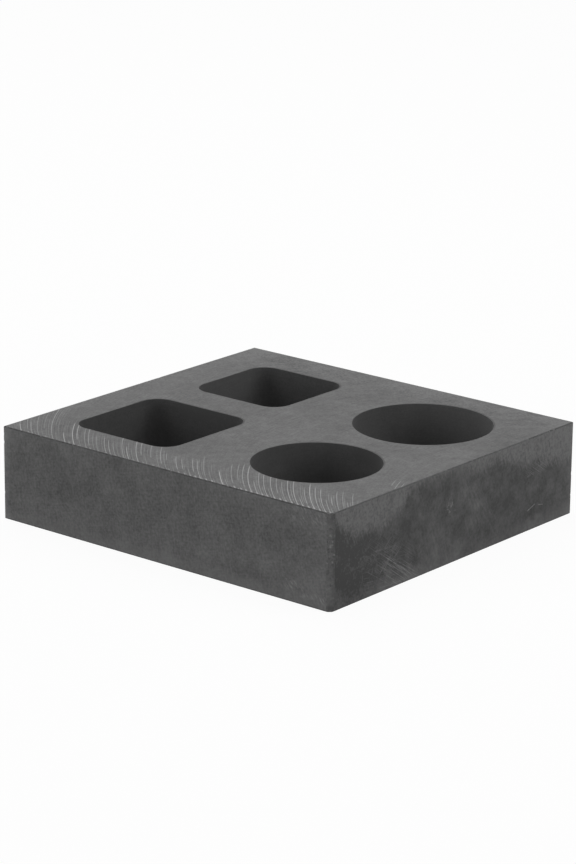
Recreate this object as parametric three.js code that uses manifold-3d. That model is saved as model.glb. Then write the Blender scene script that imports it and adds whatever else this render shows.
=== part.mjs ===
// A graphite ingot mould: one flat block milled from plate, with four open pockets that molten metal is
// poured into. Two pockets are square and two are round. Their walls lean outwards, so that a cast ingot
// drops out when the block is turned over. The whole mould is a single piece of graphite: nothing is fitted
// to it and nothing moves.
//
// Millimetres, +Z up. The origin is the middle of the underside. The front face looks along -Y.

import * as THREE from "three";
import { mergeVertices } from "three/addons/utils/BufferGeometryUtils.js";
import Module from "manifold-3d";

// The block: a slice of plate, sawn and then milled to size.
const blockLength = 82.5;
const blockWidth = 76.3;
const blockHeight = 19.05;
// The small chamfer that takes the sharpness off every outer edge.
const edgeBreak = 0.2;

// The pockets stand in two columns, squares on the left and rounds on the right, and in two rows.
const columnSpacing = 39.4;
const rowSpacing = 33.2;
// Both rows sit a little behind the middle of the block, so the front wall is the thickest.
const rowSetback = 0.7;

// Each pocket's size across its mouth.
const frontSquareSize = 25.4;
const backSquareSize = 22.86;
const frontRoundSize = 25.4;
const backRoundSize = 27.94;

// What the four pockets share.
const pocketDepth = 12.7;
const draftDegrees = 5;
// The corner radius at the mouth of a square pocket. It narrows with the draft on the way down, as a tapered
// cutter leaves it.
const squareCornerRadius = 4.15;
// The round where a wall runs into the floor.
const floorFillet = 1.5;
// The chamfer around each mouth.
const rimBreak = 0.1;

// How far a cutter stands above the face that it cuts.
const cutOverrun = 1;

// How finely round forms are divided.
const roundSteps = 88;
const cornerSteps = 8;
const filletSteps = 6;

const quarterTurn = Math.PI / 2;
const draft = THREE.MathUtils.degToRad(draftDegrees);

const leftColumn = -columnSpacing / 2;
const rightColumn = columnSpacing / 2;
const frontRow = rowSetback - rowSpacing / 2;
const backRow = rowSetback + rowSpacing / 2;

const graphite = new THREE.MeshStandardMaterial({
  color: 0x616161,
  roughness: 0.7,
  metalness: 0,
});

const wasm = await Module();
wasm.setup();

// A closed geometry as a solid that can be cut.
function toSolid(geometry) {
  const bare = geometry.clone();
  bare.deleteAttribute("normal");
  bare.deleteAttribute("uv");
  const merged = mergeVertices(bare);
  return new wasm.Manifold(
    new wasm.Mesh({
      numProp: 3,
      vertProperties: new Float32Array(merged.attributes.position.array),
      triVerts: new Uint32Array(merged.index.array),
    }),
  );
}

// A cut solid back as a flat-shaded geometry.
function toGeometry(solid) {
  const mesh = solid.getMesh();
  const geometry = new THREE.BufferGeometry();
  geometry.setAttribute("position", new THREE.BufferAttribute(mesh.vertProperties, mesh.numProp));
  geometry.setIndex(new THREE.BufferAttribute(mesh.triVerts, 1));
  const faceted = geometry.toNonIndexed();
  faceted.computeVertexNormals();
  return faceted;
}

// The uncut block, chamfered on all twelve edges. The bevel grows the outline by the chamfer, so the outline
// starts that much inside the block, with its corners cut to match the upright edges.
function blankGeometry() {
  const x = blockLength / 2 - edgeBreak;
  const y = blockWidth / 2 - edgeBreak;
  const corner = edgeBreak * Math.tan(quarterTurn / 4);
  const outline = new THREE.Shape([
    new THREE.Vector2(x, -y + corner),
    new THREE.Vector2(x, y - corner),
    new THREE.Vector2(x - corner, y),
    new THREE.Vector2(-x + corner, y),
    new THREE.Vector2(-x, y - corner),
    new THREE.Vector2(-x, -y + corner),
    new THREE.Vector2(-x + corner, -y),
    new THREE.Vector2(x - corner, -y),
  ]);
  const blank = new THREE.ExtrudeGeometry(outline, {
    depth: blockHeight - 2 * edgeBreak,
    bevelThickness: edgeBreak,
    bevelSize: edgeBreak,
    bevelSegments: 1,
  });
  return blank.translate(0, 0, edgeBreak);
}

// Half of a pocket's section, from the floor up. x is how far the wall stands inside the mouth's outline, and
// y is the height above the block's top face. A round joins the floor to the wall, the wall leans out by the
// draft, and the small chamfer runs out at 45 degrees through the mouth, at zero, to the top of the cutter.
function pocketSection() {
  const centreHeight = floorFillet - pocketDepth;
  const wallInset = rimBreak - (centreHeight + rimBreak) * Math.tan(draft);
  const centreInset = wallInset + floorFillet / Math.cos(draft);
  const floorAngle = 3 * quarterTurn;
  const wallAngle = 2 * quarterTurn + draft;
  const centre = [centreInset, centreHeight];
  const fillet = new THREE.EllipseCurve(...centre, floorFillet, floorFillet, floorAngle, wallAngle, true);
  const wallTop = new THREE.Vector2(rimBreak, -rimBreak);
  const cutterTop = new THREE.Vector2(-cutOverrun, cutOverrun);
  return [...fillet.getPoints(filletSteps), wallTop, cutterTop];
}

// The solid that a round pocket takes out of the block: the section turned about the pocket's axis.
function roundCutter(size) {
  const wall = pocketSection().map((p) => new THREE.Vector2(size / 2 - p.x, p.y));
  const profile = [new THREE.Vector2(0, wall[0].y), ...wall, new THREE.Vector2(0, wall[wall.length - 1].y)];
  return new THREE.LatheGeometry(profile, roundSteps).rotateX(quarterTurn);
}

// One level of a square pocket: its outline, drawn in by inset, with corners that tighten by the same
// amount.
function squareLevel(size, inset, height) {
  const middle = size / 2 - squareCornerRadius;
  const radius = squareCornerRadius - inset;
  const level = [];
  for (let corner = 0; corner < 4; corner++) {
    const start = corner * quarterTurn;
    const centre = new THREE.Vector2(middle, middle).rotateAround(new THREE.Vector2(), start);
    for (let step = 0; step <= cornerSteps; step++) {
      const angle = start + (step / cornerSteps) * quarterTurn;
      level.push(centre.x + radius * Math.cos(angle), centre.y + radius * Math.sin(angle), height);
    }
  }
  return level;
}

// The solid that a square pocket takes out of the block: a loft through the levels of the section, closed by
// a fan of triangles at the floor and another above the mouth.
function squareCutter(size) {
  const section = pocketSection();
  const around = 4 * (cornerSteps + 1);
  const positions = section.flatMap((p) => squareLevel(size, p.x, p.y));
  const floorCentre = section.length * around;
  const mouthCentre = floorCentre + 1;
  positions.push(0, 0, section[0].y, 0, 0, section[section.length - 1].y);
  const faces = [];
  for (let k = 0; k < around; k++) {
    const next = (k + 1) % around;
    const last = (section.length - 1) * around;
    faces.push(floorCentre, next, k);
    faces.push(mouthCentre, last + k, last + next);
    for (let level = 0; level < last; level += around) {
      faces.push(level + k, level + next, level + around + next);
      faces.push(level + k, level + around + next, level + around + k);
    }
  }
  const geometry = new THREE.BufferGeometry();
  geometry.setAttribute("position", new THREE.Float32BufferAttribute(positions, 3));
  geometry.setIndex(faces);
  return geometry;
}

// The four pockets, each a cutter standing at its own place in the top face.
const pocketCutters = [
  squareCutter(frontSquareSize).translate(leftColumn, frontRow, blockHeight),
  squareCutter(backSquareSize).translate(leftColumn, backRow, blockHeight),
  roundCutter(frontRoundSize).translate(rightColumn, frontRow, blockHeight),
  roundCutter(backRoundSize).translate(rightColumn, backRow, blockHeight),
];

function mouldBlock() {
  const blank = toSolid(blankGeometry());
  const cut = pocketCutters.reduce((solid, cutter) => solid.subtract(toSolid(cutter)), blank);
  const mesh = new THREE.Mesh(toGeometry(cut), graphite);
  mesh.name = "mould_block";
  return mesh;
}

const mould = new THREE.Group();
mould.name = "ingot_mould";
mould.add(mouldBlock());

export default mould;
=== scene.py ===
import itertools
import math

import bmesh
import bpy
from mathutils import Matrix, Vector


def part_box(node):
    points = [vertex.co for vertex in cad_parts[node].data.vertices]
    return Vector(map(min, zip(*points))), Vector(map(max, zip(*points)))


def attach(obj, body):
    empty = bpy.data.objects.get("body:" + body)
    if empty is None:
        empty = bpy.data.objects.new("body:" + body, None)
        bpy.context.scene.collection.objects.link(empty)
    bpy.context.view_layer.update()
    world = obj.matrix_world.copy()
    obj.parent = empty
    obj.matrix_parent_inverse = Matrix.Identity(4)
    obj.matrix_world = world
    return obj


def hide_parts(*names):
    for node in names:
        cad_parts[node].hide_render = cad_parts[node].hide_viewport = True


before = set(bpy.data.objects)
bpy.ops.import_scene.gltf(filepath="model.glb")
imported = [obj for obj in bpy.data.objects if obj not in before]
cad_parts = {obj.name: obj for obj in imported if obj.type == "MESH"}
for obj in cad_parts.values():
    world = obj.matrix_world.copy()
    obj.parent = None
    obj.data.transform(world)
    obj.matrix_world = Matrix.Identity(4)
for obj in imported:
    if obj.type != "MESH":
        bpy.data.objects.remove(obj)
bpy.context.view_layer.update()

# The camera stands 65 cm off, a little above the block, and looks at the upright corner where the long
# front meets the right-hand end. Its lens is long, so the block's edges stay almost parallel. It is rolled
# by half a degree.
mm = 0.001
camera_turn = math.radians(39.365)
camera_rise = math.radians(17.088)
camera_roll = math.radians(0.571)
camera_distance = 652.0 * mm
camera_aside = -0.184 * mm
camera_above = 16.618 * mm
camera_lens = 136.9
camera_sensor = 36.0

away = Vector((
    math.sin(camera_turn) * math.cos(camera_rise),
    -math.cos(camera_turn) * math.cos(camera_rise),
    math.sin(camera_rise),
))
level = Vector((math.cos(camera_turn), math.sin(camera_turn), 0))
upright = away.cross(level)
view_right = level * math.cos(camera_roll) + upright * math.sin(camera_roll)
view_up = upright * math.cos(camera_roll) - level * math.sin(camera_roll)

camera_data = bpy.data.cameras.new("camera")
camera_data.lens = camera_lens
camera_data.sensor_width = camera_sensor
camera = bpy.data.objects.new("camera", camera_data)
camera_place = Matrix((view_right, view_up, away)).transposed().to_4x4()
camera_place.translation = view_right * camera_aside + view_up * camera_above + away * camera_distance
camera.matrix_world = camera_place
bpy.context.scene.collection.objects.link(camera)
bpy.context.scene.camera = camera

# The studio: a pale table top in a white surround, under four softboxes. One hangs above the block and a
# second behind its left-hand corner. The third stands low in front of the long side, and the fourth off the
# right-hand end. None of them shines past the camera, so the pocket corners that face it stay dark.
floor_size = 6.0
floor_gap = 0.05 * mm
floor_white = (0.9, 0.9, 0.9, 1)
floor_roughness = 0.9
floor_own_light = 0.95
surround_white = (1, 1, 1, 1)
surround_strength = 0.02
# Each softbox: its name, its place and its width in metres, and its power in watts.
softboxes = (
    ("front_softbox", (-0.248, -0.681, 0.194), 0.4, 1.68),
    ("end_softbox", (0.576, 0.269, 0.397), 0.5, 1.93),
    ("back_softbox", (-0.445, 0.257, 0.613), 0.6, 2.2),
    ("overhead_softbox", (0.0, 0.0, 0.9), 0.6, 3.0),
)


class Wire:
    """A socket that a value comes out of. Sums written with wires add Math nodes to the same tree."""

    def __init__(self, tree, socket=None):
        self.tree = tree
        self.socket = socket

    def node(self, kind, settings=None, sockets=None, out=0):
        """Adds one node: its type, its settings, and what goes into its sockets. The wire that comes back
        is the output that out numbers or names."""
        made = self.tree.nodes.new(kind)
        for name, setting in (settings or {}).items():
            if name == "stops":
                # A new ramp has two stops, which become its first and its last.
                ramp = made.color_ramp.elements
                for stop, (position, colour) in zip(ramp, (setting[0], setting[-1])):
                    stop.position = position
                    stop.color = colour
                for position, colour in setting[1:-1]:
                    ramp.new(position).color = colour
            elif name == "between_stops":
                made.color_ramp.interpolation = setting
            else:
                setattr(made, name, setting)
        for name, value in (sockets or {}).items():
            if isinstance(value, Wire):
                self.tree.links.new(value.socket, made.inputs[name])
            else:
                made.inputs[name].default_value = value
        return Wire(self.tree, made.outputs[out]) if made.outputs else None

    def out(self, name):
        """Another output of the node that this wire comes from."""
        return Wire(self.tree, self.socket.node.outputs[name])

    def sum(self, operation, *values):
        """One Math node."""
        return self.node("ShaderNodeMath", {"operation": operation}, dict(enumerate(values)))

    def __add__(self, other):
        return self.sum("ADD", self, other)

    def __radd__(self, other):
        return self.sum("ADD", other, self)

    def __sub__(self, other):
        return self.sum("SUBTRACT", self, other)

    def __rsub__(self, other):
        return self.sum("SUBTRACT", other, self)

    def __mul__(self, other):
        return self.sum("MULTIPLY", self, other)

    def __rmul__(self, other):
        return self.sum("MULTIPLY", other, self)

    def __truediv__(self, other):
        return self.sum("DIVIDE", self, other)

    def __rtruediv__(self, other):
        return self.sum("DIVIDE", other, self)

    def __pow__(self, other):
        return self.sum("POWER", self, other)

    def __rpow__(self, other):
        return self.sum("POWER", other, self)

    def __abs__(self):
        return self.sum("ABSOLUTE", self)

    def whole(self):
        return self.sum("FLOOR", self)

    def larger(self, other):
        return self.sum("MAXIMUM", self, other)

    def ease(self, start, end):
        """0 up to start, 1 from end on, and a smooth rise between. It falls where start is above end."""
        sockets = {"Value": self, "From Min": start, "From Max": end}
        return self.node("ShaderNodeMapRange", {"interpolation_type": "SMOOTHSTEP"}, sockets)

    def blend(self, first, second):
        """A colour between two others: the first where this wire is 0, the second where it is 1."""
        return self.node("ShaderNodeMix", {"data_type": "RGBA"}, {0: self, 6: first, 7: second}, out=2)


def grey(value):
    """A neutral colour. Graphite has no hue of its own."""
    return (value, value, value, 1)


bpy.ops.mesh.primitive_plane_add(size=floor_size, location=(0, 0, -floor_gap))
floor = bpy.context.object
floor.name = "floor"
floor_material = bpy.data.materials.new("pale_table")
floor_material.use_nodes = True
floor_material.node_tree.nodes.clear()
studio = Wire(floor_material.node_tree)
seen_floor = studio.node("ShaderNodeLightPath", out="Is Camera Ray")
table_top = {"Base Color": floor_white, "Roughness": floor_roughness}
pale_paint = studio.node("ShaderNodeBsdfPrincipled", None, table_top)
pale_light = studio.node("ShaderNodeEmission", None, {"Color": surround_white, "Strength": 1.0})
own_light = seen_floor * floor_own_light
floor_look = studio.node("ShaderNodeMixShader", None, {0: own_light, 1: pale_paint, 2: pale_light})
studio.node("ShaderNodeOutputMaterial", None, {"Surface": floor_look})
floor.data.materials.append(floor_material)

surround = bpy.data.worlds.new("surround")
surround.use_nodes = True
surround.node_tree.nodes.clear()
bpy.context.scene.world = surround
studio = Wire(surround.node_tree)
ray = studio.node("ShaderNodeLightPath", out="Is Camera Ray")
shown = ray.larger(ray.out("Is Glossy Ray")).larger(ray.out("Is Transmission Ray"))
surround_level = surround_strength + shown * (1 - surround_strength)
backdrop = studio.node("ShaderNodeBackground", None, {"Color": surround_white, "Strength": surround_level})
studio.node("ShaderNodeOutputWorld", None, {"Surface": backdrop})

for name, place, size, power in softboxes:
    lamp = bpy.data.lights.new(name, "AREA")
    lamp.size = size
    lamp.energy = power
    softbox = bpy.data.objects.new(name, lamp)
    softbox.location = place
    softbox.rotation_euler = Vector(place).to_track_quat("Z", "Y").to_euler()
    bpy.context.scene.collection.objects.link(softbox)

bpy.context.scene.view_settings.view_transform = "Standard"

# The blank: a slab of fine-grained graphite, sawn from a bigger block and milled square on all six sides.
# A few strokes of a file took the sharpness off its outer edges, and its front corner is worn round.
block_low, block_high = (Vector(corner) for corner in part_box("mould_block"))
block_size = block_high - block_low
block_top = block_high.z
edge_round = 0.2 * mm
edge_steps = 6
worn_corner_round = 1.1 * mm

# The finishes, in the order in which they are put on the block further down.
FINISHES = (
    "milled_side", "rubbed_end", "underside", "filed_edge", "worn_corner", "pocket_wall", "fly_cut_top",
    "broken_graphite",
)


def rounded_outline(length, width, radii, steps):
    """A rectangle with four round corners, each with its own radius, as points that run anticlockwise."""
    points = []
    for corner, (across, up) in enumerate(((1, 1), (-1, 1), (-1, -1), (1, -1))):
        radius = radii[corner]
        for step in range(steps + 1):
            angle = (corner + step / steps) * math.pi / 2
            x = across * (length / 2 - radius) + radius * math.cos(angle)
            y = up * (width / 2 - radius) + radius * math.sin(angle)
            points.append((x, y))
    return points


def add_ring(mesh, outline, centre, height):
    """An outline laid flat at a height, as points of the mesh."""
    return [mesh.verts.new((centre[0] + x, centre[1] + y, height)) for x, y in outline]


def skin(mesh, lower, upper, finish, smooth):
    """A band of faces between two rings. They face outwards where the second ring is the higher one."""
    for here, this_one in enumerate(lower):
        after = (here + 1) % len(lower)
        face = mesh.faces.new((this_one, lower[after], upper[after], upper[here]))
        face.material_index = FINISHES.index(finish)
        face.smooth = smooth


def cap(mesh, ring, finish):
    """One flat face over a ring. It faces up where the ring runs anticlockwise."""
    face = mesh.faces.new(ring)
    face.material_index = FINISHES.index(finish)


block_mesh = bmesh.new()
outer_rings = []
for side in (0, 1):
    for step in range(edge_steps + 1):
        turn = (step / edge_steps) * math.pi / 2
        if side == 0:
            inset = edge_round * (1 - math.sin(turn))
            height = edge_round * (1 - math.cos(turn))
        else:
            inset = edge_round * (1 - math.cos(turn))
            height = block_top - edge_round * (1 - math.sin(turn))
        length = block_size.x - 2 * inset
        width = block_size.y - 2 * inset
        corner_rounds = [edge_round - inset] * 3 + [worn_corner_round - inset]
        outline = rounded_outline(length, width, corner_rounds, edge_steps)
        outer_rings.append(add_ring(block_mesh, outline, (0, 0), height))
for lower, upper in zip(outer_rings, outer_rings[1:]):
    skin(block_mesh, lower, upper, "filed_edge", smooth=True)
cap(block_mesh, outer_rings[0][::-1], "underside")

# The four pockets, two square and two round, plunged and widened with a tapered ball-nosed cutter. Their
# walls lean outwards by five degrees so that a cast ingot drops out. A small round joins them to the flat
# floor, and the mouth is chamfered just enough not to crumble.
pocket_depth = 12.7 * mm
pocket_draft = math.radians(5)
floor_round = 1.5 * mm
mouth_chamfer = 0.03 * mm
floor_round_steps = 10
front_width = 25.40 * mm
back_square_width = 22.86 * mm
back_round_width = 27.94 * mm
square_corner = 4.15 * mm
square_corner_steps = 16
round_corner_steps = 40
column = 19.7 * mm
front_row = -15.9 * mm
back_row = 17.3 * mm
# Each pocket: its middle, its width at the mouth, its corner radius, and the steps in each corner.
pockets = {
    "front_square": ((-column, front_row), front_width, square_corner, square_corner_steps),
    "back_square": ((-column, back_row), back_square_width, square_corner, square_corner_steps),
    "front_round": ((column, front_row), front_width, front_width / 2, round_corner_steps),
    "back_round": ((column, back_row), back_round_width, back_round_width / 2, round_corner_steps),
}

# The section that every pocket shares, from its mouth down to its floor: how far each point lies inwards
# and upwards of the mouth. A narrow band at each end of the wall keeps its shading even in between.
shading_band = 0.1 * mm
wall_lean = math.tan(pocket_draft)
round_centre_height = floor_round - pocket_depth
wall_inset = mouth_chamfer - (round_centre_height + mouth_chamfer) * wall_lean
round_centre_inset = wall_inset + floor_round / math.cos(pocket_draft)
wall_foot = round_centre_height - floor_round * math.sin(pocket_draft)
pocket_section = [(0, 0)]
for drop in (mouth_chamfer, shading_band, -wall_foot - shading_band):
    pocket_section.append((mouth_chamfer + (drop - mouth_chamfer) * wall_lean, -drop))
for step in range(floor_round_steps + 1):
    turn = math.pi + pocket_draft + (math.pi / 2 - pocket_draft) * step / floor_round_steps
    pocket_section.append((
        round_centre_inset + floor_round * math.cos(turn),
        round_centre_height + floor_round * math.sin(turn),
    ))

for centre, width, corner, steps in pockets.values():
    rings = []
    for inset, rise in pocket_section:
        outline = rounded_outline(width - 2 * inset, width - 2 * inset, [corner - inset] * 4, steps)
        rings.append(add_ring(block_mesh, outline, centre, block_top + rise))
    for upper, lower in zip(rings, rings[1:]):
        skin(block_mesh, upper, lower, "pocket_wall", smooth=True)
    cap(block_mesh, rings[-1], "pocket_wall")

# The top face is what is left between the four mouths. The flat sides and the worn corner carry the filed
# edges' finish until here, and now get their own. A face is flat where it points squarely sideways.
weld_distance = 0.0001 * mm
squarely = 0.999
worn_from_x = block_high.x - worn_corner_round
worn_to_y = block_low.y + worn_corner_round

bmesh.ops.remove_doubles(block_mesh, verts=block_mesh.verts[:], dist=weld_distance)
open_edges = [edge for edge in block_mesh.edges if len(edge.link_faces) == 1]
filled = bmesh.ops.triangle_fill(block_mesh, use_beauty=True, edges=open_edges, normal=(0, 0, 1))
for face in filled["geom"]:
    if isinstance(face, bmesh.types.BMFace):
        face.material_index = FINISHES.index("fly_cut_top")
for face in block_mesh.faces:
    if face.material_index == FINISHES.index("filed_edge"):
        face_centre = face.calc_center_median()
        if face.normal.x > squarely:
            face.material_index = FINISHES.index("rubbed_end")
            face.smooth = False
        elif max(-face.normal.x, abs(face.normal.y)) > squarely:
            face.material_index = FINISHES.index("milled_side")
            face.smooth = False
        elif face_centre.x > worn_from_x and face_centre.y < worn_to_y:
            face.material_index = FINISHES.index("worn_corner")

block = bpy.data.objects.new("graphite_block", bpy.data.meshes.new("graphite_block"))
bpy.context.scene.collection.objects.link(block)
block_mesh.to_mesh(block.data)
block_mesh.free()

# The finish of the long front, the back and the left-hand end: milled once and handled little. The grain
# shows as a fine mottle, with a faint hatch from the cutter across it. The front is scuffed near its corner
# with the right-hand end.
graphite_gloss = 0.3
milled_dark = grey(0.048)
milled_pale = grey(0.170)
scuffed_pale = grey(0.24)
low_hatch_slope = 14
steep_hatch_slope = 100
scuff_slope = -50
# Where the front is a little paler or darker than the rest: the middle, the reach and the change.
front_fields = (
    ((-30.5, 13.0), (5.0, 8.0), -0.07),
    ((-22.0, 6.5), (6.5, 4.0), 0.09),
    ((10.0, 12.0), (5.0, 4.0), -0.07),
    ((-13.0, 2.0), (8.0, 4.0), 0.06),
    ((24.0, 4.5), (12.0, 5.0), 0.08),
    ((32.0, 4.6), (5.5, 2.6), 0.08),
    ((-37.6, 13.0), (4.0, 5.0), 0.07),
    ((37.8, 12.2), (3.4, 3.0), -0.05),
)


def begin_finish(name):
    """A new material on the block, and a wire with the place on the block in millimetres."""
    material = bpy.data.materials.new(name)
    material.use_nodes = True
    material.node_tree.nodes.clear()
    start = Wire(material.node_tree)
    coordinates = start.node("ShaderNodeTexCoord", out="Object")
    to_millimetres = {"Vector": coordinates, "Scale": (1 / mm, 1 / mm, 1 / mm)}
    place = start.node("ShaderNodeMapping", None, to_millimetres)
    block.data.materials.append(material)
    return place


def end_finish(place, colour, roughness, relief):
    """Puts the colour, the roughness and the relief, in millimetres, on the graphite's shader."""
    bumps = place.node("ShaderNodeBump", None, {"Height": relief, "Distance": mm})
    sockets = {"Base Color": colour, "Roughness": roughness, "Specular IOR Level": graphite_gloss}
    shader = place.node("ShaderNodeBsdfPrincipled", None, {**sockets, "Normal": bumps})
    place.node("ShaderNodeOutputMaterial", None, {"Surface": shader})


def axes(place):
    """The three parts of a place, as wires: along the block, across it, and up."""
    x = place.node("ShaderNodeSeparateXYZ", None, {"Vector": place}, out="X")
    return x, x.out("Y"), x.out("Z")


def clouds(place, size, detail=3.0, shift=0.0):
    """Soft patches of about that size, between -0.5 and 0.5."""
    moved = place.node("ShaderNodeVectorMath", {"operation": "ADD"}, {0: place, 1: (shift, shift, shift)})
    noise = place.node("ShaderNodeTexNoise", None, {"Vector": moved, "Scale": 1 / size, "Detail": detail})
    return noise - 0.5


def streaks(across, along, width, length, shift, detail=1.0):
    """Patches drawn out into lines of that width and length, between -0.5 and 0.5."""
    drawn_out = {"X": across / width, "Y": along / length, "Z": shift}
    stretched = across.node("ShaderNodeCombineXYZ", None, drawn_out)
    noise = across.node("ShaderNodeTexNoise", None, {"Vector": stretched, "Scale": 1.0, "Detail": detail})
    return noise - 0.5


def turned(run, rise, degrees):
    """Two wires turned on a face: how far across a line at that slope, and how far along it."""
    slope = math.radians(degrees)
    across = rise * math.cos(slope) - run * math.sin(slope)
    along = run * math.cos(slope) + rise * math.sin(slope)
    return across, along


def patch(run, rise, centre, reach, fade=0.5):
    """1 inside an oval on a face and 0 outside it. fade is the share of its radius that the edge takes."""
    off_run = (run - centre[0]) / reach[0]
    off_rise = (rise - centre[1]) / reach[1]
    distance = (off_run * off_run + off_rise * off_rise) ** 0.5
    return distance.ease(1 + fade / 2, 1 - fade / 2)


def uneven(tone, run, rise, fields, fade=1.2):
    """The tone of a face, with each of its fields made a little paler or darker."""
    for centre, reach, change in fields:
        tone = tone + patch(run, rise, centre, reach, fade) * change
    return tone


place = begin_finish("milled_side")
x, y, z = axes(place)
# run goes along the face, whichever of the three faces it is.
run = x + y
crumbs = clouds(place, size=0.5, detail=4.0)
mottle = clouds(place, size=1.8, shift=7.0)
drift = clouds(place, size=9.0, shift=3.0)
low_hatch = streaks(*turned(run, z, low_hatch_slope), width=0.30, length=7.0, shift=1.0)
steep_hatch = streaks(*turned(run, z, steep_hatch_slope), width=0.35, length=5.0, shift=2.0)
# The face is painted paler towards its foot, painted light bounced up from the table, and made paler
# towards its top edge and the left-hand corner.
painted_table_bounce = z.ease(3.6, 0.8) * 0.29 + z.ease(8.0, 3.5) * 0.09 + z.ease(1.6, 0.2) * 0.11
rim_tone = z.ease(14.0, 18.5) * 0.05 + x.ease(-39.4, -40.7) * 0.22 - x.ease(38.6, 40.2) * 0.05
# Short scuffs, in three spots near the front corner.
scuffed = patch(x, z, (35.6, 17.9), (5.2, 2.0), fade=1.2)
scuffed = scuffed.larger(patch(x, z, (32.3, 3.3), (2.8, 1.1), fade=1.0) * 1.5)
scuffed = scuffed.larger(patch(x, z, (38.0, 1.9), (3.6, 0.8), fade=1.0) * 1.5)
scuff_lines = streaks(*turned(run, z, scuff_slope), width=0.35, length=1.4, shift=5.0, detail=3.0)
scuff_marks = scuff_lines.ease(-0.02, 0.22) * scuffed
tone = 0.40 + crumbs * 0.82 + mottle * 0.30 + drift * 1.0 + low_hatch * 0.22 + steep_hatch * 0.30
tone = tone + painted_table_bounce + rim_tone + x * 0.0010
tone = uneven(tone, x, z, front_fields)
milled = tone.blend(milled_dark, milled_pale)
scuffed_colour = (scuff_marks * 0.5).blend(milled, scuffed_pale)
roughness = 0.7 - crumbs * 0.15 + drift * 0.2 - scuff_marks * 0.1
relief = crumbs * 0.012 + low_hatch * 0.006 + steep_hatch * 0.006
end_finish(place, scuffed_colour, roughness, relief)

# The finish of the right-hand end. Under the top edge it has been rubbed, and the rubbing ends below in
# ragged strokes. Lower down it is smudged and scratched, most of all near the front corner.
end_dark = grey(0.048)
end_pale = grey(0.160)
rubbed_dark = grey(0.085)
scratch_pale = grey(0.30)
top_height = block_top / mm
# How far down the rubbing reaches, in millimetres, at places from the end's front edge to its back edge.
band_heights = (
    (-38.2, 0.4), (-36.8, 1.7), (-35.6, 2.9), (-33.6, 4.7), (-30.0, 6.1), (-26.4, 5.6), (-23.5, 6.2),
    (-20.0, 5.6), (-17.8, 4.9), (-16.4, 3.4), (-15.3, 1.0), (-8.0, 0.5), (0.0, 0.4), (2.3, 1.2), (5.2, 2.4),
    (9.0, 2.7), (12.8, 1.8), (17.5, 3.5), (20.4, 4.7), (26.2, 4.9), (29.2, 6.0), (35.0, 7.2), (38.2, 7.8),
)
# Where the end is a little paler or darker than the rest.
end_fields = (
    ((-18.9, 9.0), (3.6, 3.6), -0.09),
    ((2.7, 9.0), (3.0, 3.0), -0.05),
    ((24.0, 13.0), (4.0, 3.0), -0.05),
    ((-24.3, 1.8), (4.0, 2.6), 0.13),
    ((-16.2, 0.5), (3.6, 1.2), 0.45),
    ((-15.2, 3.3), (3.6, 1.5), -0.12),
    ((-18.6, 4.2), (2.5, 1.2), -0.05),
    ((-24.6, 8.2), (1.8, 1.2), 0.12),
    ((-24.8, 2.3), (1.8, 1.0), 0.10),
    ((-8.1, 5.0), (3.4, 2.6), 0.12),
    ((-2.4, 2.0), (7.0, 2.4), 0.11),
)

place = begin_finish("rubbed_end")
x, y, z = axes(place)
depth = top_height - z
crumbs = clouds(place, size=0.5, detail=4.0)
mottle = clouds(place, size=1.8, shift=11.0)
brush = streaks(y - depth * 0.40, depth + y * 0.3, width=0.55, length=4.5, shift=3.0, detail=3.0)
fine_brush = streaks(y - depth * 0.25, depth, width=0.22, length=5.0, shift=13.0, detail=2.0)
haze = clouds(place, size=3.6, detail=4.0, shift=23.0)
# The rubbed band. A ramp along the end carries how far down it reaches, and the strokes fray its lower
# edge.
band_start = band_heights[0][0]
band_length = band_heights[-1][0] - band_start
band_tallest = 10.0
stops = [((at - band_start) / band_length, grey(height / band_tallest)) for at, height in band_heights]
along_band = {"Fac": (y - band_start) / band_length}
band = place.node("ShaderNodeValToRGB", {"stops": stops}, along_band) * band_tallest
rubbed = (depth - band + brush * 5.5 + fine_brush * 2.5 + mottle * 1.4).ease(1.5, -1.5)
rub_tone = 0.63 + crumbs * 2.8 + haze * 0.5 + brush * 0.3 + fine_brush * 1.2
rub_tone = rub_tone + (y - depth * 2.0).ease(10.0, 40.0) * 0.2
rub_tone = rub_tone + (y + 22.0 + depth * 0.8).ease(10.0, 0.0) * 0.08

# Below the band: a dark corner, pale smudges, a slanting smear, dull patches, crumbs, and a foot painted
# paler: painted light bounced up from the table.
dark_corner = patch(y, z, (-31.4, 8.8), (6.6, 9.6), fade=1.0)
smudges = patch(y, z, (-1.9, 7.5), (0.8, 7.5), fade=1.0) * 0.8
smudges = smudges.larger(patch(y - depth * 0.3, z, (2.2, 10.0), (2.8, 8.0), fade=1.0))
smudges = smudges.larger(patch(y, z, (-8.2, 4.4), (5.4, 5.0), fade=1.2))
smear = patch(y - depth * 0.77, z, (0.3, 9.5), (2.4, 7.5), fade=1.0)
smear_lines = streaks(*turned(y, z, degrees=-52), width=0.5, length=5.0, shift=35.0, detail=2.0)
smear = smear * smear_lines.ease(-0.1, 0.25)
smudges = smudges.larger(patch(y, z, (-3.6, 2.4), (5.6, 3.4), fade=1.0) * 1.1)
dull_patches = patch(y, z, (-17.0, 6.6), (7.0, 4.6), fade=1.2)
dull_patches = dull_patches.larger(patch(y, z, (14.0, 10.5), (7.0, 5.0), fade=1.2) * 0.7)
pale_crumbs = patch(y, z, (-1.8, 11.4), (1.5, 1.5), fade=0.8)
pale_crumbs = pale_crumbs * clouds(place, size=0.5, detail=1.0).ease(0.02, 0.16)
pale_foot = patch(y, z, (25.6, 2.1), (2.8, 0.9), fade=1.2) * mottle.ease(-0.1, 0.2) * 0.4
pale_crumbs = pale_crumbs.larger(pale_foot)
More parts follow.
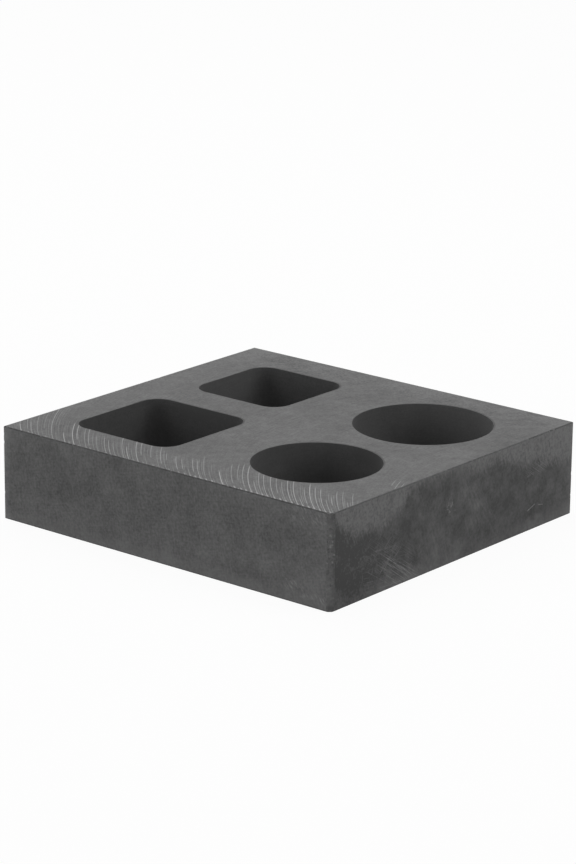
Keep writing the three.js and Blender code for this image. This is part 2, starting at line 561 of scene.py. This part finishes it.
painted_table_bounce = z.ease(3.8, 0.8) * (0.20 + y.ease(4.0, 34.0) * 0.26) + z.ease(1.6, 0.2) * 0.18
# The narrow strip along the end's back edge is made paler here too.
painted_table_bounce = painted_table_bounce + y.ease(36.4, 37.6) * 0.24
tone = 0.215 + crumbs * (0.75 + dark_corner * 0.8) + mottle * 0.4 + haze * 0.9
tone = tone + brush * 0.2 + fine_brush * 0.2
tone = tone - dark_corner * 0.25 + smudges * (0.17 + brush * 0.3 + mottle * 0.4)
tone = tone - dull_patches * 0.09 + painted_table_bounce + smear * 0.22
tone = uneven(tone, y, z, end_fields)
plain = tone.blend(end_dark, end_pale)
end_colour = (rubbed * 0.9).blend(plain, rub_tone.blend(rubbed_dark, end_pale))

# The scratches on the end. Most of them fall towards the back at one slope, in a bundle near the front
# corner. Each one that stands out runs from its deep end to its faint one, with its width and strength.
scratch_slope = -34.6
scratch_lines = (
    ((-13.2, 0.6), (-24.6, 8.4), 0.13, 1.0),
    ((-14.4, 0.5), (-22.0, 5.9), 0.12, 0.9),
    ((-12.6, 1.2), (-19.5, 5.6), 0.11, 0.7),
    ((-15.6, 0.4), (-21.0, 4.2), 0.12, 1.0),
    ((-16.6, 0.7), (-25.0, 6.2), 0.11, 0.7),
    ((-17.8, 0.4), (-22.6, 3.6), 0.11, 0.7),
    ((-20.4, 0.8), (-28.6, 5.8), 0.12, 0.4),
    ((-18.8, 8.1), (-26.4, 8.6), 0.22, 0.4),
    ((-18.9, 8.2), (-24.8, 2.6), 0.12, 0.5),
    ((-20.3, 6.6), (-22.6, 3.8), 0.16, 0.6),
    ((-16.8, 0.6), (-25.0, 1.0), 0.14, 0.5),
    ((-28.9, 2.6), (-28.8, 5.6), 0.20, 0.25),
    ((25.8, 5.1), (22.9, 4.1), 0.17, 1.2),
    ((28.6, 4.3), (26.6, 4.7), 0.14, 0.8),
    ((22.7, 11.3), (25.6, 11.8), 0.30, 0.3),
    ((28.6, 13.0), (25.0, 12.3), 0.26, 0.3),
)


def stroke(run, rise, start, end, width):
    """1 along a straight scratch between two places on a face, and 0 beside it."""
    reach = math.dist(start, end)
    slope_run = (end[0] - start[0]) / reach
    slope_rise = (end[1] - start[1]) / reach
    along = run * slope_run + rise * slope_rise - (start[0] * slope_run + start[1] * slope_rise)
    across = rise * slope_run - run * slope_rise - (start[1] * slope_run - start[0] * slope_rise)
    deep_end = along.ease(0.0, 0.08 * reach)
    faint_end = along.ease(reach, 0.7 * reach)
    return abs(across).ease(width, width * 0.3) * deep_end * faint_end


# The bundle is thickest at its middle and thins out into a halo, where other scratches cross it.
across_scratches, along_scratches = turned(y, z, scratch_slope)
bundle_across, bundle_along = turned(-16.5, 2.3, scratch_slope)
bundle = patch(along_scratches, across_scratches, (bundle_along, bundle_across), (6.5, 2.0), fade=1.0)
halo = patch(along_scratches, across_scratches, (bundle_along - 3.0, bundle_across), (9.5, 4.4), fade=1.2)
falling = streaks(across_scratches, along_scratches, width=0.11, length=6.0, shift=8.0).ease(0.02, 0.18)
rising = streaks(*turned(y, z, degrees=40), width=0.18, length=4.0, shift=9.0, detail=2.0).ease(0.06, 0.22)
flat = streaks(*turned(y, z, degrees=-6), width=0.16, length=5.0, shift=15.0, detail=2.0).ease(0.08, 0.24)
scratches = falling * bundle * 0.75 + bundle * 0.08
scratches = scratches.larger(falling * halo * 0.35).larger(rising * halo * 0.5)
scratches = scratches.larger(flat * patch(y, z, (-21.0, 3.4), (8.0, 4.6), fade=1.0) * 0.4)
scratches = scratches.larger(falling * patch(y, z, (26.0, 12.4), (4.2, 1.2), fade=0.8) * 0.5)
scratches = scratches.larger(falling * patch(y, z, (-16.4, 0.8), (4.0, 1.5), fade=1.0) * 0.9)
worn_away = clouds(place, size=0.9, detail=2.0, shift=31.0).ease(-0.16, 0.12) * 0.55 + 0.35
for start, end, width, strength in scratch_lines:
    scratches = scratches.larger(stroke(y, z, start, end, width) * strength * worn_away)
scratched_colour = (scratches * 0.75).larger(pale_crumbs * 0.32).blend(end_colour, scratch_pale)
roughness = 0.72 - rubbed * 0.08 + crumbs * 0.1
relief = crumbs * 0.012 + brush * 0.008 * rubbed - scratches * 0.012
end_finish(place, scratched_colour, roughness, relief)

# The finish of the underside, which was milled like the sides and has been slid about on the bench, so it
# is scuffed in all directions.
bench_dark = grey(0.080)
bench_pale = grey(0.135)
bench_mark_pale = grey(0.18)

place = begin_finish("underside")
x, y, z = axes(place)
crumbs = clouds(place, size=0.45, detail=4.0)
drift = clouds(place, size=12.0, shift=5.0)
bench_marks = streaks(*turned(x, y, degrees=20), width=0.25, length=12.0, shift=4.0).ease(0.08, 0.24)
other_marks = streaks(*turned(x, y, degrees=-35), width=0.2, length=9.0, shift=6.0).ease(0.10, 0.26)
bench_marks = bench_marks.larger(other_marks)
tone = 0.4 + crumbs * 0.8 + drift * 0.8
worn = tone.blend(bench_dark, bench_pale)
worn = (bench_marks * 0.5).blend(worn, bench_mark_pale)
end_finish(place, worn, 0.68 + crumbs * 0.1, crumbs * 0.010 - bench_marks * 0.008)

# The finish of the filed edges, rough where the file tore the grain. Around the foot they are painted dark,
# painted shade where the edge turns under, and around the top they are dark too. The upright ones are worn
# paler, and the top edge of the right-hand end is paler.
filed_dark = grey(0.030)
filed_pale = grey(0.125)
end_face = block_high.x / mm

place = begin_finish("filed_edge")
x, y, z = axes(place)
crumbs = clouds(place, size=0.4, detail=4.0)
torn = clouds(place, size=1.0, shift=4.0)
upright_edge = z.ease(0.3, 1.2) * z.ease(top_height - 0.35, top_height - 1.25)
end_edge = x.ease(end_face - 0.25, end_face - 0.1) * z.ease(top_height - 0.45, top_height - 0.15)
tone = 0.35 + crumbs * 1.0 + torn * 0.9 + upright_edge * 0.5 + end_edge * 0.3
end_finish(place, tone.blend(filed_dark, filed_pale), 0.8 + crumbs * 0.1, crumbs * 0.02)

# The finish of the front corner, which was knocked and handled until it was round. It is as pale as the
# long front, with paler flecks where crumbs have just come out, and dark pits where crumbs have come out:
# painted shade in those small hollows.
worn_dark = grey(0.070)
worn_pale = grey(0.245)
fleck_pale = grey(0.33)

place = begin_finish("worn_corner")
x, y, z = axes(place)
crumbs = clouds(place, size=0.4, detail=4.0)
torn = clouds(place, size=1.1, shift=14.0)
toward_end = (y + x).ease(3.2, 4.1)
knocked = patch(y, z, (-37.6, 12.0), (1.6, 3.6), fade=0.8)
flecks = clouds(place, size=0.8, detail=2.0, shift=8.0).ease(0.05, 0.16) * (0.2 + knocked * 0.6)
shaded_pits = clouds(place, size=0.8, detail=2.0, shift=3.0).ease(0.10, 0.2) * (0.25 + knocked * 0.5)
tone = 0.22 + (y + x).ease(2.0, 3.0) * 0.08 + crumbs * 0.55 + torn * 0.4 - toward_end * 0.21 - shaded_pits * 0.35
# Paler towards the foot, painted light bounced up from the table as on the long front, and darker under the
# top edge and at the very foot.
tone = tone - z.ease(16.4, 18.9) * (0.1 + torn * 0.6) + z.ease(8.0, 3.0) * 0.13 - z.ease(1.6, 0.4) * 0.1
corner_colour = (flecks * 0.5).blend(tone.blend(worn_dark, worn_pale), fleck_pale)
relief = crumbs * 0.02 + flecks * 0.02 - shaded_pits * 0.03
end_finish(place, corner_colour, 0.78 + crumbs * 0.1, relief)

# The finish of the pocket walls and floors. The cutter went round each pocket in thin steps and left a
# faint ring at each step, on the floor too, where the rings follow the pocket's own outline.
wall_dark = grey(0.054)
wall_pale = grey(0.108)
floor_height = (block_top - pocket_depth) / mm
# Where the walls and floors are painted paler or darker than the rest, seen from above: painted shade and
# painted light inside the pockets.
wall_painted_light_and_shade = (
    ((-19.7, -15.9), (15.0, 15.0), -0.20),
    ((-31.0, -4.6), (3.0, 3.0), -0.12),
    ((-18.0, -3.4), (10.0, 2.6), -0.16),
    ((-19.7, 28.7), (11.0, 3.0), -0.30),
    ((-31.1, 17.3), (3.0, 12.0), 0.28),
    ((20.0, -3.4), (8.0, 4.0), -0.22),
    ((29.8, -9.5), (5.0, 6.0), -0.16),
    ((7.5, -16.5), (3.0, 8.0), -0.08),
    ((8.6, -8.0), (4.0, 6.0), 0.08),
    ((20.5, 31.1), (8.0, 4.0), 0.20),
    ((10.4, 28.0), (4.0, 4.0), 0.12),
    ((5.9, 18.8), (3.5, 8.0), -0.12),
)


def on_right(x):
    """1 on the round pockets' side of the block, 0 on the square pockets' side."""
    return x.ease(-1.0, 1.0)


def off_mouth(x, y):
    """How far a place lies outside the mouth of its pocket, and how far behind the pocket's middle, both in
    millimetres. The first is below zero inside the mouth."""
    front_half = front_width / 2 / mm
    back_square_half = back_square_width / 2 / mm
    back_round_half = back_round_width / 2 / mm
    rounds = on_right(x)
    behind = y.sum("GREATER_THAN", y, (front_row + back_row) / 2 / mm)
    back_half = back_square_half + rounds * (back_round_half - back_square_half)
    half = front_half + behind * (back_half - front_half)
    corner = square_corner / mm + rounds * (half - square_corner / mm)
    row = front_row / mm + behind * ((back_row - front_row) / mm)
    off_column = abs(abs(x) - column / mm) - half + corner
    off_row = abs(y - row) - half + corner
    further = off_column.larger(off_row)
    past_column = off_column.larger(0.0)
    past_row = off_row.larger(0.0)
    past_corner = (past_column * past_column + past_row * past_row) ** 0.5
    return past_corner + further - further.larger(0.0) - corner, y - row


place = begin_finish("pocket_wall")
x, y, z = axes(place)
crumbs = clouds(place, size=0.4, detail=4.0)
mottle = clouds(place, size=2.2, shift=6.0)
wall_rings = streaks(z, x + y, width=0.18, length=9.0, shift=2.0)
off_rim, _ = off_mouth(x, y)
floor_rings = streaks(off_rim, x - y, width=0.35, length=14.0, shift=5.0)
on_floor = z.ease(floor_height + 0.9, floor_height + 0.3)
rings = wall_rings + (floor_rings - wall_rings) * on_floor
tone = 0.46 + crumbs * 0.75 + mottle * 0.4 + rings * 0.37
# The round pockets are painted paler, the back one most: painted light on their walls.
tone = tone + on_right(x) * (0.06 + y.ease(-2.0, 4.0) * 0.10)
tone = uneven(tone, x, y, wall_painted_light_and_shade, fade=0.6)
# Two patches of wall are painted darker towards the mouth: painted shade.
upper_wall_painted_shade = patch(x, y, (26.5, -5.5), (8.0, 7.0), fade=0.6) * 0.40
upper_wall_painted_shade = upper_wall_painted_shade.larger(patch(x, y, (-18.0, -3.4), (11.0, 3.0), fade=0.6) * 0.18)
tone = tone - upper_wall_painted_shade * z.ease(14.5, 18.0)
wall = tone.blend(wall_dark, wall_pale)
end_finish(place, wall, 0.7 + mottle * 0.1, crumbs * 0.008 + rings * 0.008)

# The finish of the top face, which was cut last, with one tool on a long swinging arm. It was fed along the
# block from left to right and left arcs of one radius. Most were skimmed away again, except along the front
# and round the left-hand corner.
top_dark = grey(0.060)
top_pale = grey(0.150)
rim_painted_shade = grey(0.035)
mark_pale_and_glint = grey(0.50)
sweep_radius = 60.0
sweep_centre = 7.5
front_edge = block_low.y / mm
fresh_depth = 8.2
fresh_more_at_corner = 8.0
mark_edge = 0.145
mark_core = 0.05
# The marks that were left standing, in their order along the feed, about one to each turn of the cutter:
# how far along the feed each one lies, where it starts and ends across the block, and how bright it is.
standing_marks = (
    (2.6, -34.0, -38.2, 0.75),
    (4.6, -29.5, -36.4, 0.30),
    (5.6, -32.0, -38.2, 0.45),
    (7.3, -27.5, -38.0, 0.35),
    (9.2, -24.0, -34.1, 0.25),
    (11.1, -21.0, -38.2, 0.42),
    (14.3, -33.2, -38.2, 0.65),
    (15.5, -36.4, -38.2, 0.35),
    (16.7, -27.2, -38.2, 0.80),
    (17.9, -26.8, -35.1, 0.60),
    (19.9, -27.2, -38.2, 0.30),
    (20.9, -27.5, -36.4, 0.50),
    (23.0, -30.4, -38.2, 0.32),
    (25.1, -30.2, -38.2, 0.40),
    (26.2, -31.2, -37.6, 0.50),
    (27.4, -31.2, -37.6, 0.35),
    (29.7, -27.2, -38.2, 0.45),
    (30.9, -32.0, -38.2, 0.60),
    (32.1, -32.2, -38.2, 0.25),
    (33.3, -27.0, -38.2, 0.60),
    (34.6, -27.2, -34.4, 0.45),
    (37.1, -27.2, -34.4, 0.32),
    (39.6, -27.2, -36.1, 0.50),
    (41.1, -30.0, -33.6, 0.40),
    (43.5, -30.4, -36.6, 0.55),
    (45.0, -30.6, -36.1, 0.50),
    (46.4, -34.4, -38.2, 0.35),
    (47.7, -29.4, -35.9, 0.50),
    (48.9, -29.7, -38.2, 0.45),
    (50.4, -27.1, -36.6, 0.35),
    (51.8, -33.4, -38.2, 0.20),
    (54.4, -32.0, -38.2, 0.90),
    (57.3, -27.2, -36.1, 0.40),
    (58.9, -26.1, -34.4, 0.35),
    (60.1, -25.6, -36.6, 0.50),
    (61.4, -25.8, -38.2, 0.70),
    (62.8, -32.4, -38.2, 0.55),
    (64.0, -27.0, -38.2, 0.42),
    (65.2, -27.2, -38.0, 0.50),
    (66.9, -27.6, -38.2, 0.60),
    (68.3, -27.4, -35.4, 0.42),
    (69.6, -29.0, -37.6, 0.40),
    (71.0, -27.0, -38.2, 0.62),
    (72.4, -27.0, -37.8, 0.65),
    (73.6, -34.5, -38.2, 0.55),
    (75.0, -29.4, -36.9, 0.50),
    (76.3, -26.8, -38.2, 0.85),
    (77.6, -27.8, -38.2, 0.60),
    (78.9, -27.8, -38.2, 0.55),
    (80.1, -32.0, -38.2, 0.45),
    (81.4, -30.2, -34.1, 0.55),
    (82.7, -27.1, -36.1, 0.45),
    (84.1, -26.4, -34.6, 0.32),
    (85.2, -30.6, -33.4, 0.40),
    (86.4, -26.1, -32.1, 0.38),
    (93.5, -14.4, -18.0, 0.30),
    (94.6, -14.2, -19.0, 0.35),
    (95.7, -15.0, -18.4, 0.30),
)
marks_in_left_ramp = 31
feed_length = 100.0
across_length = -50.0
# Where the top is a little paler or darker than the rest.
top_fields = (
    ((-31.0, 20.0), (4.5, 14.0), -0.09),
    ((-20.0, 29.5), (8.0, 1.5), -0.06),
    ((-20.0, -2.0), (9.0, 3.0), -0.14),
    ((37.0, -12.0), (5.0, 13.0), 0.08),
    ((31.0, -6.0), (4.0, 5.0), 0.09),
    ((37.5, 9.5), (5.0, 5.0), 0.14),
    ((-38.0, 24.0), (4.0, 7.0), 0.10),
    ((-38.6, -31.0), (3.0, 6.0), 0.09),
    ((27.0, 35.0), (7.0, 3.0), 0.09),
    ((-6.0, 34.0), (7.0, 4.0), 0.06),
    ((38.5, 35.5), (4.0, 4.0), 0.14),
    ((-35.0, 36.0), (8.0, 3.0), 0.10),
    ((-38.5, 20.0), (3.0, 6.0), 0.06),
    ((-35.0, -28.0), (7.0, 4.0), 0.11),
    ((-39.0, -34.0), (3.5, 5.0), 0.07),
    ((-20.0, -35.5), (6.5, 3.0), -0.09),
    ((-17.0, 35.0), (4.0, 3.0), -0.08),
    ((-9.5, 28.0), (4.0, 4.0), -0.08),
    ((37.5, 10.0), (5.0, 4.0), 0.05),
    ((36.0, -22.0), (6.0, 4.0), 0.06),
)


def marks(across, along, pitch, width, length, shift, rarity):
    """Cutter marks: one line to each pitch, a little out of place, of its own strength, and broken on its
    way."""
    cell = (across / pitch).whole()
    settings = {"noise_dimensions": "1D"}
    luck = cell.node("ShaderNodeTexWhiteNoise", settings, {"W": cell + shift})
    other_luck = cell.node("ShaderNodeTexWhiteNoise", settings, {"W": cell + shift + 0.5})
    off_line = abs(across / pitch - cell - (0.2 + luck * 0.6)) * pitch
    unbroken = streaks(cell * 3.7, along, 1.0, length, shift).ease(-0.12, 0.06)
    return off_line.ease(width, width * 0.2) * unbroken * other_luck ** rarity


def standing(feed, y, table):
    """How bright the marks of one table are at a place, and how far off the nearest one lies. A stepped
    ramp along the feed hands each mark's numbers, scaled to lie between 0 and 1, to the strip around it.
    One ramp has room for 32 marks."""
    stops = []
    strip_start = 0.0
    for here, (at, back_end, front_end, strength) in enumerate(table):
        numbers = (strength, back_end / across_length, front_end / across_length, at / feed_length)
        stops.append((strip_start, numbers))
        if here + 1 < len(table):
            strip_start = (at + table[here + 1][0]) / 2 / feed_length
    settings = {"stops": stops, "between_stops": "CONSTANT"}
    ramp = feed.node("ShaderNodeValToRGB", settings, {"Fac": feed / feed_length})
    strength = ramp.node("ShaderNodeSeparateColor", None, {"Color": ramp}, out="Red")
    off_line = abs(feed - ramp.out("Alpha") * feed_length)
    past_back_end = y - strength.out("Green") * across_length
    past_front_end = y - strength.out("Blue") * across_length
    line = off_line.ease(mark_edge, mark_core) * past_back_end.ease(0.5, -1.5)
    line = line * past_front_end.ease(-0.5, 0.8)
    return line * strength, off_line


place = begin_finish("fly_cut_top")
x, y, z = axes(place)
# How far the tool had been fed when it cut a place. It is the same all along an arc.
off_centre = y - sweep_centre
feed = x + (sweep_radius ** 2 - off_centre * off_centre) ** 0.5
crumbs = clouds(place, size=0.4, detail=4.0)
mottle = clouds(place, size=2.0, shift=9.0)
drift = clouds(place, size=9.0, shift=2.0)
# The strip along the front where the arcs weren't skimmed away. It is deeper round the left-hand corner.
from_front = y - front_edge
corner_reach = x.ease(-24.0, -40.0) * fresh_more_at_corner
cut_edge = fresh_depth + corner_reach + mottle * 5.0
fresh_cut = (from_front - cut_edge).ease(2.0, -2.0)
cut_strength = 0.45 + x.ease(-26.0, -12.0) * 0.2 + x.ease(4.0, 20.0) * 0.25 - x.ease(37.0, 41.0) * 0.2
# The arcs themselves: coarse and fine ones, the lip at the front edge, the marks that were left standing,
# and the bright tips of those marks where they run off the front edge. They are painted pale, partly the
# fresh-cut graphite's own paler colour and partly painted glints off the cut ridges.
coarse = marks(feed, y, pitch=1.7, width=0.15, length=7.0, shift=21.0, rarity=1.6)
fine = marks(feed, y, pitch=0.62, width=0.13, length=6.0, shift=57.0, rarity=0.8)
dull_line = streaks(feed, y, width=0.22, length=9.0, shift=27.0, detail=2.0)
lip = from_front.ease(0.8, 0.1) * streaks(feed, y * 0.0, width=0.5, length=1.0, shift=33.0).ease(0.0, 0.12)
lip = lip * (0.4 + x.ease(4.0, 12.0) * 0.2)
marks_and_glints = (coarse * (0.25 - x.ease(4.0, 20.0) * 0.05)).larger(fine * 0.50)
left_marks, off_left_mark = standing(feed, y, standing_marks[:marks_in_left_ramp])
right_marks, off_right_mark = standing(feed, y, standing_marks[marks_in_left_ramp:])
clear_of_marks = off_left_mark.ease(0.20, 0.42) * off_right_mark.ease(0.20, 0.42) * 0.7 + 0.3
uneven_depth = 1.0 + streaks(feed, y, width=0.8, length=2.5, shift=61.0) * 0.8
marks_and_glints = (marks_and_glints * clear_of_marks).larger(lip) * fresh_cut * cut_strength
marks_and_glints = marks_and_glints.larger(left_marks.larger(right_marks) * uneven_depth * 0.95)
tip_line = off_left_mark.ease(0.34, 0.08).larger(off_right_mark.ease(0.34, 0.08))
tips = tip_line * from_front.ease(1.3, 0.3) * (0.28 + feed.ease(42.0, 50.0) * 0.42)
tips = tips * feed.ease(88.0, 87.0)
marks_and_glints = marks_and_glints.larger(tips * uneven_depth)

# The far rim of each mouth is painted dark: painted shade along its edge.
off_rim, behind_middle = off_mouth(x, y)
far_rim_painted_shade = off_rim.ease(0.45, 0.15) * behind_middle.ease(4.0, 9.0)

# The skimmed face under the arcs: a streaky painted sheen, strongest in two patches near the back corners,
# a painted sheen at the far corners, a fine cross-hatch, and sides that are paler or duller than the rest.
sheen_streaks = streaks(*turned(x, y, degrees=48), width=2.2, length=12.0, shift=31.0, detail=2.0)
cross_hatch = streaks(x, y, width=0.5, length=6.0, shift=41.0, detail=2.0)
cross_hatch = cross_hatch + streaks(y, x, width=0.5, length=6.0, shift=43.0, detail=2.0)
between_pockets = patch(x, y, (-1.0, -6.0), (9.0, 12.0), fade=1.4)
glow = patch(x, y, (-28.0, 34.0), (5.0, 6.0), fade=1.4)
glow = glow.larger(patch(x, y, (32.0, 33.0), (5.0, 6.5), fade=1.4))
far_sides = x.ease(-38.6, -41.0).larger(y.ease(28.0, 36.0))
far_corner_sheen = patch(x, y, (-41.0, 38.0), (5.0, 5.0), fade=1.2)
far_corner_sheen = far_corner_sheen.larger(patch(x, y, (41.0, 34.0), (3.0, 5.0), fade=1.2))
dull_side = patch(x, y, (39.5, 22.0), (4.5, 7.0), fade=1.2)
tone = 0.49 + crumbs * (1.7 + far_sides * 0.8) + mottle * 0.8 + drift * 1.0
tone = tone + dull_line * (0.7 + fresh_cut * 0.6)
tone = tone - fresh_cut * (0.05 + x.ease(-10.0, -20.0) * 0.10) + y.ease(32.5, 37.0) * 0.16
tone = tone + sheen_streaks * (0.4 + glow * 1.3) + cross_hatch * (0.08 + between_pockets * 0.5)
tone = tone + between_pockets * 0.06 + far_corner_sheen * 0.28 - dull_side * 0.08
tone = uneven(tone, x, y, top_fields)
skimmed = tone.blend(top_dark, top_pale)
top_colour = marks_and_glints.blend((far_rim_painted_shade * 0.8).blend(skimmed, rim_painted_shade), mark_pale_and_glint)
roughness = 0.7 + crumbs * 0.1 - dull_line * 0.1
relief = crumbs * 0.008 + dull_line * 0.010 * (0.3 + fresh_cut) + marks_and_glints * 0.012
end_finish(place, top_colour, roughness, relief)

# Broken edges. Graphite is brittle, so crumbs have broken out all along the outer edges, and a few bigger
# flakes where the block was knocked, most of them on its front corner. Each break is a small bite out of
# the solid block.
broken_dark = grey(0.10)
broken_pale = grey(0.22)
sparkle_pale = grey(0.30)
chip_spacing = 1.6 * mm
chip_smallest = 0.03 * mm
chip_largest = 0.30 * mm
chip_seed = 11
# The higher the rarity, the fewer of the chips are large. A chip slips along its edge by up to a share of
# the spacing, its width and length are shares of its size, and its tilt and spin are in radians.
chip_rarity = 5.0
chip_slip = 0.5
chip_width = (0.6, 1.1)
chip_length = (0.9, 2.4)
chip_tilt = 0.3
chip_spin = 6.28
# Each flake: its middle and its half sizes, in millimetres.
flakes = (
    ((41.20, -38.10, 13.5), (0.50, 0.46, 0.80)),
    ((41.38, -37.90, 11.7), (0.50, 0.44, 0.55)),
    ((41.05, -38.30, 10.3), (0.60, 0.52, 0.50)),
    ((41.15, -38.05, 0.00), (0.60, 0.55, 0.42)),
    ((41.20, -38.15, 5.2), (0.50, 0.50, 0.70)),
    ((40.40, -38.00, 19.15), (0.60, 0.34, 0.30)),
    ((41.20, -37.10, 19.12), (0.26, 0.50, 0.22)),
    ((38.10, -38.25, 19.12), (0.42, 0.24, 0.20)),
    ((41.35, 38.20, 8.4), (0.32, 0.32, 0.70)),
    ((-41.30, -38.20, 15.8), (0.28, 0.28, 0.50)),
)

place = begin_finish("broken_graphite")
crumbs = clouds(place, size=0.18, detail=4.0)
sparkle = clouds(place, size=0.10, detail=1.0, shift=5.0).ease(0.12, 0.2)
broken = (0.5 + crumbs * 1.2).blend(broken_dark, broken_pale)
broken = (sparkle * 0.5).blend(broken, sparkle_pale)
end_finish(place, broken, 0.75 - sparkle * 0.3, crumbs * 0.03)

# The chips: little rough balls along a line, each one slipped, squashed, stretched and tumbled by chance.
chip_tree = bpy.data.node_groups.new("edge_chips", "GeometryNodeTree")
chip_inputs = (
    ("Edges", "NodeSocketGeometry"), ("Spacing", "NodeSocketFloat"), ("Smallest", "NodeSocketFloat"),
    ("Largest", "NodeSocketFloat"), ("Seed", "NodeSocketInt"), ("Finish", "NodeSocketMaterial"),
)
for name, kind in chip_inputs:
    chip_tree.interface.new_socket(name, in_out="INPUT", socket_type=kind)
chip_tree.interface.new_socket("Chips", in_out="OUTPUT", socket_type="NodeSocketGeometry")
given = Wire(chip_tree).node("NodeGroupInput", out="Edges")
spacing = given.out("Spacing")
seed = given.out("Seed")
lines = given.node("GeometryNodeMeshToCurve", None, {"Mesh": given})
points = given.node("GeometryNodeCurveToPoints", {"mode": "LENGTH"}, {"Curve": lines, "Length": spacing})


def chance(low, high, offset):
    """A random number for each chip, drawn from its own seed."""
    sockets = {2: low, 3: high, "Seed": seed + offset}
    return given.node("FunctionNodeRandomValue", {"data_type": "FLOAT"}, sockets, out=1)


slide = {0: points.out("Tangent"), "Scale": chance(-chip_slip, chip_slip, 1) * spacing}
slid = given.node("ShaderNodeVectorMath", {"operation": "SCALE"}, slide)
scattered = given.node("GeometryNodeSetPosition", None, {"Geometry": points, "Offset": slid})
chip = given.node("GeometryNodeMeshIcoSphere", None, {"Radius": 1.0, "Subdivisions": 1})
smallest = given.out("Smallest")
size = smallest + (given.out("Largest") - smallest) * chance(0.0, 1.0, 2) ** chip_rarity
shape = {"X": size * chance(*chip_width, 3), "Y": size * chance(*chip_width, 4)}
shape["Z"] = size * chance(*chip_length, 5)
chip_scale = given.node("ShaderNodeCombineXYZ", None, shape)
tumble = {"X": chance(-chip_tilt, chip_tilt, 6), "Z": chance(0.0, chip_spin, 7)}
chip_rotation = given.node("ShaderNodeCombineXYZ", None, tumble)
laid = {"Points": scattered, "Instance": chip, "Rotation": points.out("Rotation"), "Scale": chip_scale}
chips_laid = given.node("GeometryNodeInstanceOnPoints", None, laid)
tumbled = {"Instances": chips_laid, "Rotation": chip_rotation}
chips_turned = given.node("GeometryNodeRotateInstances", None, tumbled)
chips_real = given.node("GeometryNodeRealizeInstances", None, {"Geometry": chips_turned})
in_graphite = {"Geometry": chips_real, "Material": given.out("Finish")}
finished = given.node("GeometryNodeSetMaterial", None, in_graphite)
given.node("NodeGroupOutput", None, {"Chips": finished})

# The lines that the chips lie along: the twelve edges of the block's box.
edge_lines = bmesh.new()
corners = {}
for sides in itertools.product((0, 1), repeat=3):
    corner = [(block_low, block_high)[side][axis] for axis, side in enumerate(sides)]
    corners[sides] = edge_lines.verts.new(corner)
for first, second in itertools.combinations(corners, 2):
    if sum(a != b for a, b in zip(first, second)) == 1:
        edge_lines.edges.new((corners[first], corners[second]))

cutters = bpy.data.objects.new("chip_cutters", bpy.data.meshes.new("chip_cutters"))
bpy.context.scene.collection.objects.link(cutters)
edge_lines.to_mesh(cutters.data)
edge_lines.free()
scatter = cutters.modifiers.new("scatter", "NODES")
scatter.node_group = chip_tree
chip_values = {
    "Spacing": chip_spacing, "Smallest": chip_smallest, "Largest": chip_largest, "Seed": chip_seed,
    "Finish": bpy.data.materials["broken_graphite"],
}
for name, value in chip_values.items():
    scatter[chip_tree.interface.items_tree[name].identifier] = value
depsgraph = bpy.context.evaluated_depsgraph_get()
chips_mesh = bpy.data.meshes.new_from_object(cutters.evaluated_get(depsgraph))
cutters.modifiers.clear()

# The flakes join the chips as bigger balls, set one by one.
all_chips = bmesh.new()
all_chips.from_mesh(chips_mesh)
for flake_middle, half_sizes in flakes:
    flake_place = Matrix.Translation(Vector(flake_middle) * mm)
    flake_place = flake_place @ Matrix.Diagonal((*(Vector(half_sizes) * mm), 1))
    flake_place = flake_place @ Matrix.Rotation(flake_middle[2], 4, "Z")
    bmesh.ops.create_icosphere(all_chips, subdivisions=2, radius=1.0, matrix=flake_place)
all_chips.to_mesh(chips_mesh)
all_chips.free()
cutters.data = chips_mesh

# The chips and flakes are bitten out of the block, and each bite brings its finish with it.
bite = block.modifiers.new("bite", "BOOLEAN")
bite.operation = "DIFFERENCE"
bite.solver = "EXACT"
bite.use_self = True
bite.material_mode = "TRANSFER"
bite.object = cutters
depsgraph = bpy.context.evaluated_depsgraph_get()
bitten = bpy.data.meshes.new_from_object(block.evaluated_get(depsgraph))
block.modifiers.clear()
block.data = bitten
bpy.data.objects.remove(cutters)

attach(block, "root")
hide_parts("mould_block")
